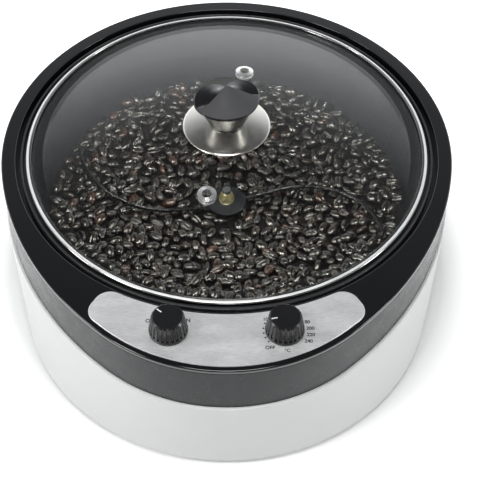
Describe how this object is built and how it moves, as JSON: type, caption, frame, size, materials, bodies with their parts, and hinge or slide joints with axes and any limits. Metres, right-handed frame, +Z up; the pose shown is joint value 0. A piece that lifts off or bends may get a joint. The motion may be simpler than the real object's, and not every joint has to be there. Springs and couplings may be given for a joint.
{
  "type": "coffee bean roaster",
  "caption": "Home coffee bean roaster: egg-shaped case, round non-stick pan with a motor-driven wire stirrer, control knobs on the front of the deck and a lift-off glass lid.",
  "frame": {"origin": "on the floor, at the centre of the footprint's bounding box", "axes": "+Z up, -Y towards the control panel, +X to the right seen from the front"},
  "size_m": [0.322, 0.3578, 0.1644],
  "materials": {
    "shell_white": "satin white moulding",
    "band_charcoal": "smooth matte charcoal",
    "deck_black": "high gloss black",
    "panel_metal": "fine brushed, bright bevelled edge",
    "control_black": "semi-gloss black",
    "cap_black": "glossy black",
    "polished_steel": "polished stainless steel",
    "spun_steel": "spun stainless steel",
    "clear_glass": "clear tempered glass",
    "nonstick_black": "non-stick coating on drawn aluminium",
    "wire_steel": "drawn steel wire",
    "brass": "turned brass",
    "bronze": "sintered bronze",
    "copper": "enamelled copper winding",
    "foot_rubber": "black rubber",
    "seal_silicone": "dark silicone",
    "zinc_steel": "zinc-plated sheet",
    "reflector_steel": "aluminised sheet",
    "element_sheath": "dark annealed sheath",
    "nylon_white": "moulded nylon",
    "phenolic_dark": "moulded phenolic",
    "ferrite": "ferrite"
  },
  "bodies": {
    "case": {"lower_shell": "shell_white", "base_plate": "zinc_steel", "rubber_feet": "foot_rubber", "upper_band": "band_charcoal", "top_deck": "deck_black", "tie_screws": "zinc_steel", "control_panel": "panel_metal", "bush_nuts": "zinc_steel", "rotary_switch": "phenolic_dark", "thermostat": "zinc_steel", "thermostat_bulb": "spun_steel", "bulb_clips": "spun_steel", "capillary": "copper", "roasting_pan": "nonstick_black", "pan_gasket": "seal_silicone", "shaft_sleeve": "spun_steel", "sleeve_nut": "zinc_steel", "heating_element": "element_sheath", "element_clamps": "spun_steel", "thermal_fuse": "nylon_white", "fuse_clip": "spun_steel", "heat_shield": "reflector_steel", "shield_posts": "zinc_steel", "shield_screws": "zinc_steel", "gear_case": "zinc_steel", "gear_case_cover": "zinc_steel", "cover_screws": "zinc_steel", "motor_bush": "bronze", "stator_coil": "copper", "rotor_pin": "spun_steel", "idler_pin": "spun_steel", "cable_bush": "foot_rubber", "terminal_block": "nylon_white", "earth_stud": "brass"},
    "power_control": {"power_shaft": "zinc_steel", "power_knob": "control_black"},
    "thermostat_control": {"thermostat_shaft": "zinc_steel", "thermostat_knob": "control_black"},
    "stirrer": {"drive_shaft": "spun_steel", "output_wheel": "nylon_white", "stirrer_hub": "nonstick_black", "stirrer_wires": "wire_steel", "hub_washer": "polished_steel", "cap_nut": "brass"},
    "idler": {"idler_gear": "nylon_white"},
    "rotor": {"rotor_magnet": "ferrite", "rotor_pinion": "nylon_white"},
    "lid": {"lid_glass": "clear_glass", "lid_rim": "polished_steel", "vent_eyelets": "polished_steel", "knob_washer": "seal_silicone", "knob_seat": "polished_steel", "knob_stem": "spun_steel", "knob_cap": "cap_black", "inner_washer": "spun_steel", "knob_screw": "polished_steel"}
  },
  "joints": [
    {"name": "lid_lift", "type": "slide", "parent": "case", "child": "lid", "axis": [0, 0, 1], "range_m": [0, 0.25]},
    {"name": "power_knob_turn", "type": "hinge", "parent": "case", "child": "power_control", "pos_m": [-0.036, -0.14655, 0.117], "axis": [0, 0, 1], "range_deg": [-90, 0]},
    {"name": "thermostat_knob_turn", "type": "hinge", "parent": "case", "child": "thermostat_control", "pos_m": [0.036, -0.14655, 0.117], "axis": [0, 0, 1], "range_deg": [-205, 65]},
    {"name": "stirrer_spin", "type": "hinge", "parent": "case", "child": "stirrer", "pos_m": [0, 0.01645, 0.045], "axis": [0, 0, 1], "continuous": true},
    {"name": "idler_spin", "type": "hinge", "parent": "case", "child": "idler", "pos_m": [0, 0.04045, 0.0145], "axis": [0, 0, 1], "continuous": true},
    {"name": "rotor_spin", "type": "hinge", "parent": "case", "child": "rotor", "pos_m": [-0.02363, 0.04462, 0.012], "axis": [0, 0, 1], "continuous": true}
  ],
  "couplings": [
    {"joint": "idler_spin", "follows": "stirrer_spin", "ratio": -4},
    {"joint": "rotor_spin", "follows": "stirrer_spin", "ratio": 16}
  ]
}
